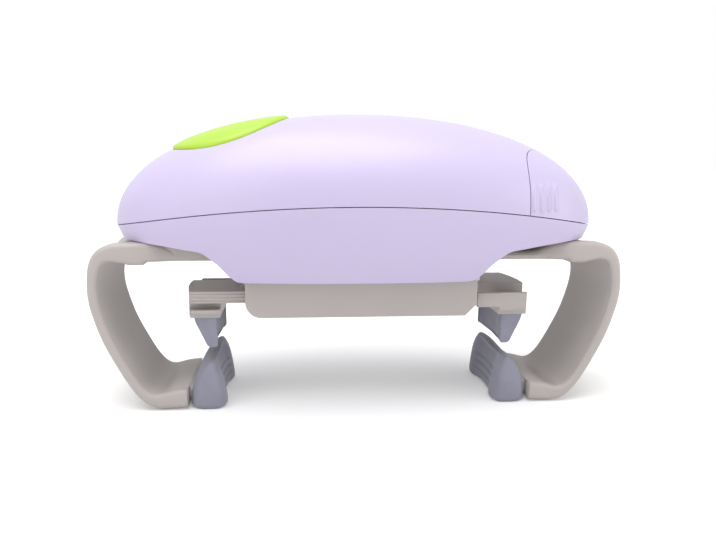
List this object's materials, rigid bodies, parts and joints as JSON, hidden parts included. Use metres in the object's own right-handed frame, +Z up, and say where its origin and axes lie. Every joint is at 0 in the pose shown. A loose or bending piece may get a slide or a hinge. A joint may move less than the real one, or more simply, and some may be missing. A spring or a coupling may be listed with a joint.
{
  "type": "electric jar opener",
  "caption": "Battery jar opener: domed body on two sliding curved arms with rubber boots, and a turning carriage with two toothed jaws that grip the lid.",
  "frame": {"origin": "middle of the rest face between the two boots, on the surface that the opener stands on", "axes": "+X along the body towards the battery cover, -Y is the front, +Z up; rest pose has the arms and jaws fully open"},
  "size_m": [0.2026, 0.084, 0.1116],
  "materials": {
    "shell": "satin moulded plastic, lilac",
    "button": "satin moulded plastic, lime green",
    "grey": "fine-textured moulded plastic, warm grey",
    "rubber": "matt moulded rubber, blue grey",
    "inner": "natural moulded plastic",
    "black": "black moulded plastic",
    "steel": "plain steel",
    "brass": "turned brass",
    "pcb": "solder-masked board",
    "cell": "printed sleeve over steel, plain",
    "red": "wire insulation, red",
    "fibre": "friction fibre"
  },
  "bodies": {
    "housing": {"upper_shell": "shell", "lower_shell": "shell", "button_spring": "steel", "push_switch": "black", "circuit_board": "pcb", "board_parts": "black", "board_bracket": "inner", "board_screws": "steel", "chassis_plate": "inner", "chassis_screws": "steel", "gearbox_plate": "inner", "plate_pillars": "steel", "gearbox_screws": "steel", "gear_axles": "steel", "motor": "steel", "motor_screws": "steel", "arm_guide": "inner", "guide_screws": "steel", "case_screws": "steel", "battery_tray": "black", "cells": "cell", "tray_contacts": "steel", "red_lead": "red", "black_lead": "black"},
    "battery_cover": {"battery_cover": "shell", "cover_contact": "steel"},
    "start_button": {"start_button": "button", "switch_plunger": "inner"},
    "arm_left": {"arm_left": "grey", "boot_left": "rubber"},
    "arm_right": {"arm_right": "grey", "boot_right": "rubber"},
    "arm_drive": {"arm_pinion": "steel", "arm_clutch": "fibre"},
    "carriage": {"carriage": "grey", "carriage_ring": "steel", "ring_screws": "steel"},
    "output_gear": {"output_gear": "inner"},
    "second_gear": {"second_gear": "inner"},
    "first_gear": {"first_gear": "inner"},
    "motor_rotor": {"motor_pinion": "brass"},
    "jaw_left": {"jaw_left": "grey", "jaw_left_pad": "rubber"},
    "jaw_right": {"jaw_right": "grey", "jaw_right_pad": "rubber"},
    "jaw_drive": {"jaw_shaft": "steel", "jaw_pinion": "steel", "clutch_disc": "fibre", "clutch_spring": "steel", "clutch_nut": "steel"}
  },
  "joints": [
    {"name": "button_press", "type": "slide", "parent": "housing", "child": "start_button", "axis": [0.2689, 0, -0.9632], "range_m": [0, 0.002], "stiffness_N_per_m": 600, "springref_m": -0.001, "deforming": ["button_spring"]},
    {"name": "cover_slide", "type": "slide", "parent": "housing", "child": "battery_cover", "axis": [1, 0, 0], "range_m": [0, 0.02]},
    {"name": "arm_left_slide", "type": "slide", "parent": "housing", "child": "arm_left", "axis": [1, 0, 0], "range_m": [0, 0.024]},
    {"name": "arm_right_slide", "type": "slide", "parent": "housing", "child": "arm_right", "axis": [-1, 0, 0], "range_m": [0, 0.024]},
    {"name": "arm_drive_turn", "type": "hinge", "parent": "housing", "child": "arm_drive", "pos_m": [0, 0, 0.0615], "axis": [0, 0, 1], "range_deg": [0, 152.8]},
    {"name": "carriage_turn", "type": "hinge", "parent": "housing", "child": "carriage", "pos_m": [0, 0, 0.0495], "axis": [0, 0, 1], "continuous": true},
    {"name": "output_turn", "type": "hinge", "parent": "housing", "child": "output_gear", "pos_m": [0, 0, 0.0685], "axis": [0, 0, 1], "continuous": true},
    {"name": "second_turn", "type": "hinge", "parent": "housing", "child": "second_gear", "pos_m": [-0.01556, 0.01556, 0.0705], "axis": [0, 0, 1], "continuous": true},
    {"name": "first_turn", "type": "hinge", "parent": "housing", "child": "first_gear", "pos_m": [-0.02828, 0.00283, 0.0725], "axis": [0, 0, 1], "continuous": true},
    {"name": "rotor_turn", "type": "hinge", "parent": "housing", "child": "motor_rotor", "pos_m": [-0.01556, -0.0099, 0.0875], "axis": [0, 0, 1], "continuous": true},
    {"name": "jaw_left_slide", "type": "slide", "parent": "carriage", "child": "jaw_left", "axis": [1, 0, 0], "range_m": [0, 0.037]},
    {"name": "jaw_right_slide", "type": "slide", "parent": "carriage", "child": "jaw_right", "axis": [-1, 0, 0], "range_m": [0, 0.037]},
    {"name": "jaw_drive_turn", "type": "hinge", "parent": "carriage", "child": "jaw_drive", "pos_m": [0, 0, 0.043], "axis": [0, 0, 1], "range_deg": [0, 282.7]}
  ],
  "couplings": [
    {"joint": "arm_right_slide", "follows": "arm_left_slide", "ratio": 1},
    {"joint": "arm_drive_turn", "follows": "arm_left_slide", "rad_per_m": 111.11},
    {"joint": "output_turn", "follows": "carriage_turn", "ratio": 1},
    {"joint": "second_turn", "follows": "carriage_turn", "ratio": -4},
    {"joint": "first_turn", "follows": "carriage_turn", "ratio": 14},
    {"joint": "rotor_turn", "follows": "carriage_turn", "ratio": -56},
    {"joint": "jaw_right_slide", "follows": "jaw_left_slide", "ratio": 1},
    {"joint": "jaw_drive_turn", "follows": "jaw_left_slide", "rad_per_m": 133.33}
  ]
}
